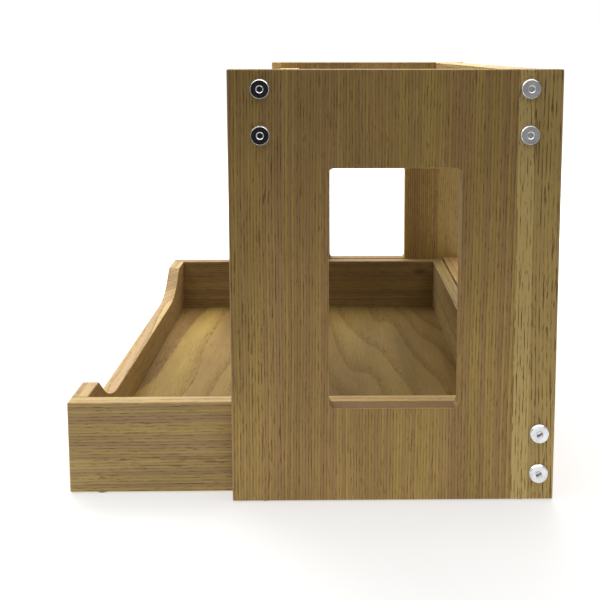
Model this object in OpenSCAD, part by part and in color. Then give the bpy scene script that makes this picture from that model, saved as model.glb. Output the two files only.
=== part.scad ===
// Book drop box in oak: two windowed side panels joined by three rails, open at the
// top, with a wide tray below that slides out at the front to be emptied.
// X runs from the front to the back, Y from the right side to the left, Z up.
// The origin is on the floor, at the centre of the whole box with its tray at home.

/* [Frame] */
// Width over the outer faces of both side panels
frame_w = 660; // [480:5:900]
// Depth of a side panel from its front edge to its back edge
panel_d = 298; // [260:1:420]
// Height of a side panel
panel_h = 399; // [340:1:520]
// Thickness of a side panel
panel_t = 18; // [15:0.5:24]
// Chamfer along the eased edges of every oak board
ease = 1; // [0.4:0.1:2]

/* [Windows] */
// Width of the window in each side panel
window_w = 119; // [60:1:130]
// Height of the window
window_h = 222; // [120:1:230]
// Distance from the panel's front edge to the window
window_inset = 89.5; // [70:0.5:110]
// Height of the window's sill above the panel's foot
window_sill = 89; // [60:1:100]
// Corner radius of the window
window_r = 5; // [2:0.5:20]

/* [Rails] */
// Thickness of the three rails
rail_t = 28; // [22:1:34]
// Height of the back top rail, which is level with the panels' tops
top_rail_h = 76; // [64:1:84]
// How far the front top rail's upper edge is below the panels' tops
front_rail_drop = 9; // [0:0.5:10]
// Inset of both top rails from the panels' front and back edges
top_rail_inset = 15; // [5:0.5:20]
// Height of the base rail at the foot of the back
base_rail_h = 90; // [80:1:110]

/* [Bolts] */
// Diameter of a connector bolt's flat head
bolt_head_d = 19; // [15:0.5:20]
// Height of the head
bolt_head_h = 2.6; // [2:0.1:4]
// Width of the bevel round the head's rim
bolt_bevel = 1.7; // [0.5:0.1:2.5]
// Diameter of the bolt's shank
bolt_d = 6; // [5:0.5:7]
// Length of the shank under the head
bolt_len = 55; // [52:0.5:64]
// Hexagon socket across its flats
socket_af = 5; // [3:0.5:5]
// Depth of the socket below the head's face
socket_depth = 4; // [2:0.5:6]
// Clearance round a shank in its drilled hole, on the radius
bolt_clearance = 0.3; // [0.1:0.05:0.5]
// Upper bolt of a top rail, below the panel's top
top_bolt_drop = 17.5; // [16:0.5:22]
// Distance between a top rail's two bolts
top_bolt_pitch = 41; // [30:0.5:42]
// Lower bolt of the base rail, above the panel's foot
base_bolt_rise = 25; // [15:0.5:30]
// Distance between the base rail's two bolts
base_bolt_pitch = 38.5; // [25:0.5:45]

/* [Barrel nuts] */
// Diameter of a barrel nut
nut_d = 10; // [9:0.5:12]
// Length of a barrel nut
nut_len = 14; // [12:0.5:18]
// Distance from the rail's end to a barrel nut's axis
nut_inset = 30; // [24:0.5:30]
// Clearance of a close fit, on the radius
close_fit = 0.05; // [0.02:0.01:0.1]
// Width and depth of the screwdriver slot in a barrel nut
nut_slot = 1.2; // [0.8:0.1:1.6]

/* [Tray] */
// How far the tray stands out in front of the side panels
tray_reach = 156; // [80:1:240]
// Height of the tray's boards
tray_h = 88; // [70:1:110]
// Thickness of the tray's boards
tray_t = 16; // [14:0.5:20]
// Clearance between the tray and each side panel
side_gap = 2; // [1:0.1:5]
// Gap between the tray's back and the base rail
home_gap = 1.5; // [0.5:0.1:5]
// Shoulder at each end of the front board before its scoop starts
shoulder = 42; // [25:1:80]
// Depth of the scoop in the front board's upper edge
scoop_depth = 35.5; // [24:0.5:40]
// Angle of the scoop's straight slope
scoop_angle = 37; // [30:1:45]
// Radius that eases the slope into the scoop's level floor
scoop_r = 95; // [40:1:100]

/* [Tray base] */
// Thickness of the veneered base
base_t = 9; // [6:0.5:12]
// Height of the base's underside above the boards' lower edges
base_rise = 5.5; // [4:0.5:12]
// Depth of the groove that holds the base
groove_d = 6; // [4:0.5:8]
// Clearance over the base and at its edges
base_fit = 0.3; // [0.1:0.05:0.6]

/* [Tray dowels] */
// Diameter of a dowel
dowel_d = 8; // [6:0.5:8]
// Depth of a dowel in a tray side
dowel_in_side = 9; // [7:0.5:10]
// Depth of a dowel in the end of the front or back board
dowel_in_end = 21; // [15:0.5:25]
// Lower dowel of a corner, above the boards' lower edges
dowel_rise = 30; // [26:0.5:32]
// Distance between the two dowels of a corner
dowel_pitch = 32; // [20:0.5:34]

/* [Felt pads] */
// Diameter of a felt pad
pad_d = 14; // [10:0.5:14]
// Thickness of a felt pad
pad_h = 1; // [0.5:0.1:3]
// Distance from a board's end to the centre of its felt pad
pad_inset = 30; // [20:1:60]

/* [Hidden] */
$fn = 48;

oak = "#9c8152";
oak_inside = "#a88a57";
veneer = "#a07a49";
chrome = "#c9ccd1";
zinc = "#9aa0a3";
beech = "#c9a878";
felt = "#4a4642";

// Length of cut that runs clear through a surface
over = 1;

// Places along X
front_x = -(tray_reach + panel_d) / 2;
panel_x = front_x + tray_reach;
back_x = panel_x + panel_d;
front_rail_x = panel_x + top_rail_inset;
back_rail_x = back_x - top_rail_inset - rail_t;
base_rail_x = back_x - rail_t;
tray_back_x = base_rail_x - home_gap;

// Places along Y, as distances from the centre
inner_y = frame_w / 2 - panel_t;
tray_y = inner_y - side_gap;
tray_inner_y = tray_y - tray_t;

// Places along Z
foot_z = pad_h;
top_z = foot_z + panel_h;
rail_foot_z = top_z - top_rail_h;
base_z = foot_z + base_rise;

// Lengths
rail_len = 2 * inner_y;
tray_len = tray_back_x - front_x;
end_len = 2 * tray_inner_y;
nut_bore_depth = (rail_t + nut_len) / 2;
bolt_bore_depth = bolt_len - panel_t + 3;

// Heights of the bolts in each rail
top_bolts = [for (i = [0, 1]) top_z - top_bolt_drop - i * top_bolt_pitch];
base_bolts = [for (i = [0, 1]) foot_z + base_bolt_rise + i * base_bolt_pitch];
dowel_heights = [for (i = [0, 1]) foot_z + dowel_rise + i * dowel_pitch];

// ---- Shapes that repeat ----

// Rectangle with chamfered corners
module eased_rect(a, b) {
  polygon([
    [ease, 0], [a - ease, 0], [a, ease], [a, b - ease],
    [a - ease, b], [ease, b], [0, b - ease], [0, ease]
  ]);
}

// Board along Y that meets its neighbours square at both ends
module butted_board(t, len, h) {
  translate([0, len / 2, 0]) rotate([90, 0, 0]) linear_extrude(len) eased_rect(t, h);
}

// Upright board along X, with every edge eased
module eased_board(len, t, h) {
  intersection() {
    linear_extrude(h) eased_rect(len, t);
    translate([0, t, 0]) rotate([90, 0, 0]) linear_extrude(t) eased_rect(len, h);
    rotate([90, 0, 90]) linear_extrude(len) eased_rect(t, h);
  }
}

// Round bar or bore along Y, from y = 0 upwards
module along_y(r, len) {
  rotate([-90, 0, 0]) cylinder(r = r, h = len);
}

// Round bar or bore along X, from x = 0 upwards
module along_x(r, len) {
  rotate([0, 90, 0]) cylinder(r = r, h = len);
}

// Puts its children on one side: side is -1 for the right and 1 for the left,
// and the children are drawn for the right
module on_side(side) {
  if (side < 0) children();
  else mirror([0, 1, 0]) children();
}

// ---- Frame ----

module window_cut() {
  across = window_w - 2 * window_r;
  upright = window_h - 2 * window_r;
  deep = panel_t + 2 * over;
  translate([panel_x + window_inset, -inner_y - panel_t - over, foot_z + window_sill]) {
    translate([window_r, 0, 0]) cube([across, deep, window_h]);
    translate([0, 0, window_r]) cube([window_w, deep, upright]);
    for (x = [window_r, window_w - window_r], z = [window_r, window_h - window_r])
      translate([x, 0, z]) along_y(window_r, deep);
  }
}

// Through holes of one rail's two bolts in a side panel
module panel_bolt_holes(x, heights) {
  for (z = heights)
    translate([x, -inner_y - panel_t - over, z])
      along_y(bolt_d / 2 + bolt_clearance, panel_t + 2 * over);
}

module side_panel(side) {
  color(oak) on_side(side) difference() {
    translate([panel_x, -inner_y - panel_t, foot_z]) eased_board(panel_d, panel_t, panel_h);
    window_cut();
    panel_bolt_holes(front_rail_x + rail_t / 2, top_bolts);
    panel_bolt_holes(back_rail_x + rail_t / 2, top_bolts);
    panel_bolt_holes(base_rail_x + rail_t / 2, base_bolts);
  }
}

// Rail between the side panels. inward is 1 where its inner face looks to the back,
// and -1 where it looks to the front. The nuts go in from the inner face.
module rail(x, z, h, heights, inward) {
  color(oak) difference() {
    translate([x, 0, z]) butted_board(rail_t, rail_len, h);
    for (side = [-1, 1], bz = heights) on_side(side) {
      translate([x + rail_t / 2, -inner_y - over, bz])
        along_y(bolt_d / 2 + bolt_clearance, bolt_bore_depth + over);
      translate([x + rail_t / 2, -inner_y + nut_inset, bz])
        rotate([0, 0, inward > 0 ? 0 : 180])
          translate([rail_t / 2 - nut_bore_depth, 0, 0])
            along_x(nut_d / 2 + close_fit, nut_bore_depth + over);
    }
  }
}

module front_top_rail() {
  rail(front_rail_x, rail_foot_z, top_rail_h - front_rail_drop, top_bolts, 1);
}

module back_top_rail() {
  rail(back_rail_x, rail_foot_z, top_rail_h, top_bolts, -1);
}

module base_rail() {
  rail(base_rail_x, foot_z, base_rail_h, base_bolts, -1);
}

// ---- Bolts and barrel nuts ----

// Connector bolt with its head outside the right side panel
module bolt(x, z) {
  r = bolt_head_d / 2;
  translate([x, -inner_y - panel_t, z]) difference() {
    rotate([-90, 0, 0]) rotate_extrude() polygon([
      [0, -bolt_head_h], [r - bolt_bevel, -bolt_head_h], [r, -bolt_head_h * 0.25], [r, 0],
      [bolt_d / 2, 0], [bolt_d / 2, bolt_len - 1], [bolt_d / 2 - 1, bolt_len], [0, bolt_len]
    ]);
    translate([0, -bolt_head_h - over, 0]) rotate([-90, 30, 0])
      cylinder(d = socket_af / cos(30), h = socket_depth + over, $fn = 6);
  }
}

module bolt_pair(x, heights, side) {
  color(chrome) on_side(side) for (z = heights) bolt(x + rail_t / 2, z);
}

// Slotted barrel nut at the middle of a rail, near its right end
module barrel_nut(x, z, inward) {
  translate([x + rail_t / 2, -inner_y + nut_inset, z]) rotate([0, 0, inward > 0 ? 0 : 180])
    difference() {
      translate([-nut_len / 2, 0, 0]) along_x(nut_d / 2, nut_len);
      translate([0, -nut_d, 0]) along_y(bolt_d / 2 + close_fit, 2 * nut_d);
      translate([nut_len / 2 - nut_slot, -nut_d, -nut_slot / 2])
        cube([nut_slot + over, 2 * nut_d, nut_slot]);
    }
}

module barrel_nuts(x, heights, inward) {
  color(zinc) for (side = [-1, 1], z = heights) on_side(side) barrel_nut(x, z, inward);
}

// ---- Tray ----

// Outline of the scoop: a level floor, an arc at each end and two straight slopes
module scoop_outline() {
  floor_z = tray_h - scoop_depth;
  arc_run = scoop_r * sin(scoop_angle);
  arc_rise = scoop_r * (1 - cos(scoop_angle));
  slope_run = (scoop_depth - arc_rise) / tan(scoop_angle);
  top_y = end_len / 2 - shoulder;
  arc_y = top_y - slope_run;
  floor_y = arc_y - arc_run;
  // The slopes go on upwards a little, so that the cut leaves no skin at the top edge
  over_run = over / tan(scoop_angle);
  polygon([
    [-top_y - over_run, tray_h + over], [-arc_y, floor_z + arc_rise],
    [-floor_y, floor_z + scoop_r], [-floor_y, floor_z], [floor_y, floor_z],
    [floor_y, floor_z + scoop_r], [arc_y, floor_z + arc_rise],
    [top_y + over_run, tray_h + over]
  ]);
  intersection() {
    for (side = [-1, 1]) translate([side * floor_y, floor_z + scoop_r]) circle(scoop_r);
    translate([-arc_y, floor_z]) square([2 * arc_y, scoop_depth + over]);
  }
}

// Groove for the base, along the inner faces of all four boards
module base_groove() {
  inset = tray_t - groove_d;
  translate([front_x + inset, -tray_y + inset, base_z])
    cube([tray_len - 2 * inset, 2 * (tray_y - inset), base_t + base_fit]);
}

// Holes for a corner's dowels, through the joint between a side and an end board
module dowel_holes(x) {
  for (side = [-1, 1], z = dowel_heights) on_side(side)
    translate([x + tray_t / 2, -tray_inner_y - dowel_in_side, z])
      along_y(dowel_d / 2 + close_fit, dowel_in_side + dowel_in_end + over);
}

module tray_front() {
  color(oak) difference() {
    translate([front_x, 0, foot_z]) butted_board(tray_t, end_len, tray_h);
    translate([front_x - over, 0, foot_z]) rotate([90, 0, 90])
      linear_extrude(tray_t + 2 * over) scoop_outline();
    base_groove();
    dowel_holes(front_x);
  }
}

module tray_back() {
  color(oak_inside) difference() {
    translate([tray_back_x - tray_t, 0, foot_z]) butted_board(tray_t, end_len, tray_h);
    base_groove();
    dowel_holes(tray_back_x - tray_t);
  }
}

module tray_side(side) {
  color(oak) on_side(side) difference() {
    translate([front_x, -tray_y, foot_z]) eased_board(tray_len, tray_t, tray_h);
    base_groove();
    dowel_holes(front_x);
    dowel_holes(tray_back_x - tray_t);
  }
}

module tray_base() {
  inset = tray_t - groove_d + base_fit;
  color(veneer) translate([front_x + inset, -tray_y + inset, base_z])
    cube([tray_len - 2 * inset, 2 * (tray_y - inset), base_t]);
}

module corner_dowels(x) {
  color(beech) for (side = [-1, 1], z = dowel_heights) on_side(side)
    translate([x + tray_t / 2, -tray_inner_y - dowel_in_side, z])
      along_y(dowel_d / 2, dowel_in_side + dowel_in_end);
}

// ---- Felt pads ----

// A pad under each end of the two boards that stand at y and -y
module felt_pads(x0, x1, y) {
  color(felt) for (x = [x0 + pad_inset, x1 - pad_inset], side = [-1, 1])
    translate([x, side * y, 0]) cylinder(d = pad_d, h = pad_h);
}

side_panel(-1);  // right_side_panel
side_panel(1);  // left_side_panel
front_top_rail();
back_top_rail();
base_rail();
bolt_pair(front_rail_x, top_bolts, -1);  // front_top_bolts_right
bolt_pair(front_rail_x, top_bolts, 1);  // front_top_bolts_left
bolt_pair(back_rail_x, top_bolts, -1);  // back_top_bolts_right
bolt_pair(back_rail_x, top_bolts, 1);  // back_top_bolts_left
bolt_pair(base_rail_x, base_bolts, -1);  // base_rail_bolts_right
bolt_pair(base_rail_x, base_bolts, 1);  // base_rail_bolts_left
barrel_nuts(front_rail_x, top_bolts, 1);  // front_top_barrel_nuts
barrel_nuts(back_rail_x, top_bolts, -1);  // back_top_barrel_nuts
barrel_nuts(base_rail_x, base_bolts, -1);  // base_rail_barrel_nuts
felt_pads(panel_x, back_x, inner_y + panel_t / 2);  // frame_felt_pads
tray_front();
tray_back();
tray_side(-1);  // tray_right_side
tray_side(1);  // tray_left_side
tray_base();
corner_dowels(front_x);  // tray_front_dowels
corner_dowels(tray_back_x - tray_t);  // tray_back_dowels
felt_pads(front_x, tray_back_x, tray_y - tray_t / 2);  // tray_felt_pads
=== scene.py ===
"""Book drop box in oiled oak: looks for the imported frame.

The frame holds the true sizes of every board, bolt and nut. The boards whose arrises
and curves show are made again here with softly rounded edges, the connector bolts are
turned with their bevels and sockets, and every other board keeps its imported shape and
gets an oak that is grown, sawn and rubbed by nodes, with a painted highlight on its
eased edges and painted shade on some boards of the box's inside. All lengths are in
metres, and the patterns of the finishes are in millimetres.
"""

import logging
import math
from dataclasses import dataclass
from enum import Enum

import bmesh
import bpy
from mathutils import Matrix, Vector


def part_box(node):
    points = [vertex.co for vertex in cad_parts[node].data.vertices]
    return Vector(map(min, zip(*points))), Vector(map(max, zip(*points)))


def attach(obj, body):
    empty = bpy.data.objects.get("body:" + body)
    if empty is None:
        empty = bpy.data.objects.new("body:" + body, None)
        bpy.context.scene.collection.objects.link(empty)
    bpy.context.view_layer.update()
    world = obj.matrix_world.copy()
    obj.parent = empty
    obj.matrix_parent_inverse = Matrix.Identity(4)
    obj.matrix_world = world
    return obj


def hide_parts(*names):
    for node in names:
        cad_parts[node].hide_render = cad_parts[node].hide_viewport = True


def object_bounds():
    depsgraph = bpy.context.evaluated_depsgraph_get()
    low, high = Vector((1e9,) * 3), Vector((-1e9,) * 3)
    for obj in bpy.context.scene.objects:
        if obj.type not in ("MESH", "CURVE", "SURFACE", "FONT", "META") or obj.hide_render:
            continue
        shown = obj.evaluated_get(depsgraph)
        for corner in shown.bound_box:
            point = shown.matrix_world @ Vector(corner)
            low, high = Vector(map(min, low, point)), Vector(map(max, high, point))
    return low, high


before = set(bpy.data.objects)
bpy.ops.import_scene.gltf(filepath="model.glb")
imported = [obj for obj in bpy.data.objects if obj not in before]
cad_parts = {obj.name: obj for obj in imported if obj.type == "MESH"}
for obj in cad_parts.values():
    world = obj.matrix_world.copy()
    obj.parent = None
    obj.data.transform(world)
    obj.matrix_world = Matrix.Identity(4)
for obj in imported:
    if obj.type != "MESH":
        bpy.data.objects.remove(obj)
cad_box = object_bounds()

LOG = logging.getLogger("book_drop_box")
MM = 0.001
Triple = tuple[float, float, float]
Colour = tuple[float, float, float]
Span = tuple[float, float]
Value = float | tuple | bpy.types.NodeSocket

WELD = 0.002 * MM
NEAR_SQUARE = 1.2
NEAR = 0.01 * MM
EASE_STEPS = 3
ROD_SIDES = 24


# ---------------------------------------------------------------- node sheets


class Sheet:
    """A node tree that is being laid out, for a material, a group or the world."""

    def __init__(self, tree: bpy.types.NodeTree) -> None:
        """Starts on an empty tree."""
        self.tree = tree
        tree.nodes.clear()

    def node(self, kind: str, inputs: dict | None = None, **settings) -> bpy.types.Node:
        """Adds one node.

        Args:
            kind: the node's type name without its ShaderNode prefix.
            inputs: input name or number to a value or to another node's socket.
            **settings: the node's own properties.

        Returns:
            The new node.
        """
        made = self.tree.nodes.new("ShaderNode" + kind)
        for name, value in settings.items():
            setattr(made, name, value)
        for key, value in (inputs or {}).items():
            self.feed(made.inputs[key], value)
        return made

    def feed(self, socket: bpy.types.NodeSocket, value: Value) -> None:
        """Sets an input socket, or links it when the value is a socket itself.

        Args:
            socket: the input socket.
            value: a number, a colour, a vector or an output socket.
        """
        if isinstance(value, bpy.types.NodeSocket):
            self.tree.links.new(value, socket)
        else:
            socket.default_value = value

    def maths(self, operation: str, a: Value, b: Value = 0.0, c: Value = 0.0) -> Value:
        """The result of one Math node on up to three numbers."""
        return self.node("Math", {0: a, 1: b, 2: c}, operation=operation).outputs[0]

    def vector(self, operation: str, a: Value, b: Value = (0.0, 0.0, 0.0)) -> Value:
        """The resulting vector of one Vector Math node on two vectors."""
        return self.node("VectorMath", {0: a, 1: b}, operation=operation).outputs[0]

    def scaled(self, vector: Value, factor: Value) -> Value:
        """The vector times a number."""
        inputs = {0: vector, "Scale": factor}
        return self.node("VectorMath", inputs, operation="SCALE").outputs[0]

    def length(self, vector: Value) -> Value:
        """The vector's length."""
        return self.node("VectorMath", {0: vector}, operation="LENGTH").outputs["Value"]

    def facing(self, axis: Value) -> Value:
        """How squarely the surface faces along an axis, from -1 to 1.

        Args:
            axis: the axis as a unit vector or socket.

        Returns:
            The result's socket.
        """
        normal = self.node("NewGeometry").outputs["True Normal"]
        inputs = {0: normal, 1: axis}
        return self.node("VectorMath", inputs, operation="DOT_PRODUCT").outputs["Value"]

    def step(self, value: Value, reach: tuple, start: float = 0.0, end: float = 1.0) -> Value:
        """A smooth step over a range of values.

        Args:
            value: the number or socket that is tested.
            reach: where the step starts and where it ends, as numbers or sockets.
            start: result at and below the reach.
            end: result at and above it.

        Returns:
            The result's socket.
        """
        low, high = reach
        made = self.node(
            "MapRange",
            {"Value": value, "From Min": low, "From Max": high, "To Min": start, "To Max": end},
            interpolation_type="SMOOTHSTEP",
        )
        return made.outputs[0]

    def mix(self, factor: Value, a: Value, b: Value, blend: str = "MIX") -> Value:
        """Blends two colours.

        Args:
            factor: how much of the second colour, as a number or socket.
            a: first colour or socket.
            b: second colour or socket.
            blend: the Mix node's blend mode.

        Returns:
            The blended colour's socket.
        """
        made = self.node("Mix", data_type="RGBA", blend_type=blend)
        for number, value in ((0, factor), (6, a), (7, b)):
            opaque = (*value, 1.0) if isinstance(value, tuple) and len(value) == 3 else value
            self.feed(made.inputs[number], opaque)
        return made.outputs[2]

    def dimmed(self, colour: Value, amount: Value) -> Value:
        """The colour times a number, which is the same for its three channels."""
        grey = self.node("CombineColor", {0: amount, 1: amount, 2: amount}).outputs[0]
        return self.mix(1.0, colour, grey, "MULTIPLY")

    def noise(
        self, vector: Value, stretch: Triple, seed: Value, detail: float = 2.0, rough: float = 0.5
    ) -> bpy.types.Node:
        """Noise that is stretched differently along each axis.

        Args:
            vector: the coordinates' socket.
            stretch: cycles per unit along each axis.
            seed: number or socket that picks a different noise.
            detail: the noise's octaves.
            rough: how strong the finer octaves are.

        Returns:
            The noise node.
        """
        scaled = self.vector("MULTIPLY", vector, stretch)
        return self.node(
            "TexNoise",
            {"Vector": scaled, "W": seed, "Scale": 1.0, "Detail": detail, "Roughness": rough},
            noise_dimensions="4D",
        )

    def steps(self, factor: Value, stops: list[Span]) -> Value:
        """A staircase of grey values.

        Args:
            factor: the socket that picks the step.
            stops: (position, value) of each step's start, in rising order.

        Returns:
            The value's socket.
        """
        made = self.node("ValToRGB", {0: factor})
        made.color_ramp.interpolation = "CONSTANT"
        ramp = made.color_ramp.elements
        while len(ramp) < len(stops):
            ramp.new(1.0)
        for element, (position, value) in zip(ramp, stops):
            element.position = position
            element.color = (value, value, value, 1.0)
        return made.outputs[0]

    def millimetres(self) -> Value:
        """The piece's object coordinates in millimetres."""
        return self.scaled(self.node("TexCoord").outputs["Object"], 1.0 / MM)

    def emboss(
        self, shader: bpy.types.Node, height: Value, strength: float, distance: float
    ) -> None:
        """Feeds a shader's normal from a height.

        Args:
            shader: the Principled shader.
            height: the height's socket.
            strength: how strongly the relief shows.
            distance: how far a height of 1 stands out.
        """
        inputs = {"Strength": strength, "Distance": distance, "Height": height}
        self.feed(shader.inputs["Normal"], self.node("Bump", inputs).outputs[0])


@dataclass(frozen=True)
class Port:
    """A named socket of a node group."""

    name: str
    kind: str = "NodeSocketFloat"
    value: float | tuple | None = None


class Effect:
    """A surface effect that several materials share, held in one node group."""

    name = "effect"
    takes: tuple[Port, ...] = ()
    gives: tuple[Port, ...] = ()
    built: dict[str, bpy.types.NodeTree] = {}

    def lay_out(self, sheet: Sheet, ports: bpy.types.Node) -> dict[str, Value]:
        """Lays out the group's nodes.

        Args:
            sheet: the group's sheet.
            ports: the group's input node.

        Returns:
            Each output's name, and the socket that feeds it.
        """
        raise NotImplementedError

    def tree(self) -> bpy.types.NodeTree:
        """The effect's node group, built the first time that it is asked for.

        Returns:
            The group's tree.
        """
        if self.name in self.built:
            return self.built[self.name]
        tree = bpy.data.node_groups.new(self.name, "ShaderNodeTree")
        for ports, way in ((self.takes, "INPUT"), (self.gives, "OUTPUT")):
            for port in ports:
                socket = tree.interface.new_socket(
                    name=port.name, in_out=way, socket_type=port.kind
                )
                if port.value is not None:
                    socket.default_value = port.value
        sheet = Sheet(tree)
        entry = tree.nodes.new("NodeGroupInput")
        leave = tree.nodes.new("NodeGroupOutput")
        for name, socket in self.lay_out(sheet, entry).items():
            tree.links.new(socket, leave.inputs[name])
        self.built[self.name] = tree
        return tree

    def place(self, sheet: Sheet, **values: Value) -> bpy.types.NodeOutputs:
        """Puts the group in a material.

        Args:
            sheet: the material's sheet.
            **values: input names, with spaces written as underscores, to values or sockets.

        Returns:
            The group node's outputs.
        """
        made = sheet.node("Group")
        made.node_tree = self.tree()
        for key, value in values.items():
            sheet.feed(made.inputs[key.replace("_", " ")], value)
        return made.outputs


VECTOR = "NodeSocketVector"


class OakFigure(Effect):
    """Growth rings of a trunk, cut by the board's own faces, with their fibres.

    The grains are in cycles per mm across, through and along the board.
    """

    name = "Oak figure"
    takes = (
        Port("Vector", VECTOR),
        Port("Seed"),
        Port("Ring", value=3.0),
        Port("Pith across"),
        Port("Pith depth", value=80.0),
        Port("Taper"),
        Port("Waver", value=6.0),
    )
    gives = (Port("Early"), Port("Ring tone"), Port("Fibre"), Port("Cloud"))

    drift_grain = (0.007, 0.007, 0.0016)
    ragged_grain = (0.06, 0.06, 0.007)
    cloud_grain = (0.02, 0.02, 0.0035)
    fibre_grain = (1.5, 1.5, 0.035)
    fibre_rough = 0.65
    ragged = 2.4
    early_part = (0.0, 0.5)
    onset_part = (0.93, 1.0)

    def lay_out(self, sheet: Sheet, ports: bpy.types.Node) -> dict[str, Value]:
        """Rings about a wandering pith; see Effect.lay_out for Args and Returns."""
        given = ports.outputs
        at, seed = given["Vector"], given["Seed"]
        slow = sheet.noise(at, self.drift_grain, seed, detail=2.0)
        quick = sheet.noise(at, self.ragged_grain, seed, detail=3.0)
        drift = sheet.vector("SUBTRACT", slow.outputs["Color"], (0.5, 0.5, 0.5))
        spread = sheet.scaled(drift, given["Waver"])
        pith = sheet.node("CombineXYZ", {"X": given["Pith across"], "Y": given["Pith depth"]})
        from_pith = sheet.vector("SUBTRACT", at, pith.outputs[0])
        warped = sheet.vector("ADD", from_pith, spread)
        radius = sheet.length(sheet.vector("MULTIPLY", warped, (1.0, 1.0, 0.0)))
        along = sheet.node("SeparateXYZ", {0: at}).outputs["Z"]
        cone = sheet.maths("MULTIPLY_ADD", along, given["Taper"], radius)
        rings = sheet.maths("MULTIPLY_ADD", quick.outputs[0], self.ragged, cone)
        turns = sheet.maths("DIVIDE", rings, given["Ring"])
        within = sheet.maths("FRACT", turns)
        fade = sheet.step(within, self.early_part, 1.0, 0.0)
        onset = sheet.step(within, self.onset_part)
        tag = sheet.maths("ADD", sheet.maths("FLOOR", turns), seed)
        tone = sheet.node("TexWhiteNoise", {"W": tag}, noise_dimensions="1D")
        cloud = sheet.noise(at, self.cloud_grain, seed, detail=3.0)
        fibre = sheet.noise(at, self.fibre_grain, seed, detail=3.0, rough=self.fibre_rough)
        return {
            "Early": sheet.maths("MAXIMUM", fade, onset),
            "Ring tone": tone.outputs["Value"],
            "Fibre": fibre.outputs[0],
            "Cloud": cloud.outputs[0],
        }


class OpenPores(Effect):
    """Short dark vessels along the grain, thickest where the wood grew early."""

    name = "Open pores"
    takes = (
        Port("Vector", VECTOR),
        Port("Seed"),
        Port("Early", value=0.5),
        Port("Amount", value=1.0),
        Port("Width", value=0.5),
        Port("Length", value=8.0),
    )
    gives = (Port("Pores"),)

    wander_grain = (0.02, 0.02, 0.012)
    wander = (9.0, 9.0, 0.0)
    sparse = 0.66
    early_gain = -0.13
    edge = 0.07

    def lay_out(self, sheet: Sheet, ports: bpy.types.Node) -> dict[str, Value]:
        """Stretched noise above a threshold; see Effect.lay_out for Args and Returns."""
        given = ports.outputs
        across = sheet.maths("DIVIDE", 1.0, given["Width"])
        along = sheet.maths("DIVIDE", 1.0, given["Length"])
        scale = sheet.node("CombineXYZ", {"X": across, "Y": across, "Z": along})
        fitted = sheet.vector("MULTIPLY", given["Vector"], scale.outputs[0])
        bend = sheet.noise(given["Vector"], self.wander_grain, given["Seed"])
        lean = sheet.vector("MULTIPLY", bend.outputs["Color"], self.wander)
        vessels = sheet.node(
            "TexNoise",
            {
                "Vector": sheet.vector("ADD", fitted, lean),
                "W": given["Seed"],
                "Scale": 1.0,
                "Detail": 1.0,
            },
            noise_dimensions="4D",
        )
        ease = sheet.maths("MULTIPLY", given["Early"], given["Amount"])
        cut = sheet.maths("MULTIPLY_ADD", ease, self.early_gain, self.sparse)
        full = sheet.maths("ADD", cut, self.edge)
        return {"Pores": sheet.step(vessels.outputs[0], (cut, full))}


class ArrisWearAndHighlight(Effect):
    """Marks the eased edges of a board, paler partly where hands and sanding have rubbed them and
    partly as a painted highlight where they catch the light.
    """

    name = "Arris wear and painted highlight"
    takes = (Port("Face axis", VECTOR, (0.0, 1.0, 0.0)), Port("Vector", VECTOR))
    gives = (Port("Arris"),)

    slant = (0.02, 0.2)
    wear_and_highlight_grain = (0.09, 0.09, 0.09)
    wear_and_highlight_seed = 3.0
    wear_and_highlight_range = (0.3, 0.65)
    least = 0.45

    def lay_out(self, sheet: Sheet, ports: bpy.types.Node) -> dict[str, Value]:
        """Faces that lean off the board's axis; see Effect.lay_out for Args and Returns."""
        lean = sheet.facing(ports.outputs["Face axis"])
        square = sheet.maths("MULTIPLY", lean, lean)
        both = sheet.maths("MULTIPLY", square, sheet.maths("SUBTRACT", 1.0, square))
        # The edge mask carries both rubbed wear and a painted highlight on the eased edges.
        edge = sheet.step(both, self.slant)
        rub_and_highlight_noise = sheet.noise(ports.outputs["Vector"], self.wear_and_highlight_grain, self.wear_and_highlight_seed, detail=3.0)
        worn_and_lit = sheet.step(rub_and_highlight_noise.outputs[0], self.wear_and_highlight_range, self.least, 1.0)
        return {"Arris": sheet.maths("MULTIPLY", edge, worn_and_lit)}


class Handling(Effect):
    """Faint soft patches where a surface has been touched, wiped and lit for years."""

    name = "Handling"
    takes = (Port("Vector", VECTOR), Port("Size", value=40.0), Port("Seed"))
    gives = (Port("Patch"), Port("Specks"))

    patch_grain = (1.0, 1.0, 1.0)
    speck_grain = (24.0, 24.0, 24.0)
    patch = (0.35, 0.65)
    speck = (0.62, 0.78)

    def lay_out(self, sheet: Sheet, ports: bpy.types.Node) -> dict[str, Value]:
        """Wide patches and fine specks; see Effect.lay_out for Args and Returns."""
        seed = ports.outputs["Seed"]
        scale = sheet.maths("DIVIDE", 1.0, ports.outputs["Size"])
        fitted = sheet.scaled(ports.outputs["Vector"], scale)
        wide = sheet.noise(fitted, self.patch_grain, seed, detail=4.0)
        fine = sheet.noise(fitted, self.speck_grain, seed, detail=2.0)
        return {
            "Patch": sheet.step(wide.outputs[0], self.patch),
            "Specks": sheet.step(fine.outputs[0], self.speck),
        }


FIGURE = OakFigure()
PORES = OpenPores()
ARRIS_WEAR_AND_HIGHLIGHT = ArrisWearAndHighlight()
HANDLING = Handling()


# ---------------------------------------------------------------- finishes


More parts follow.
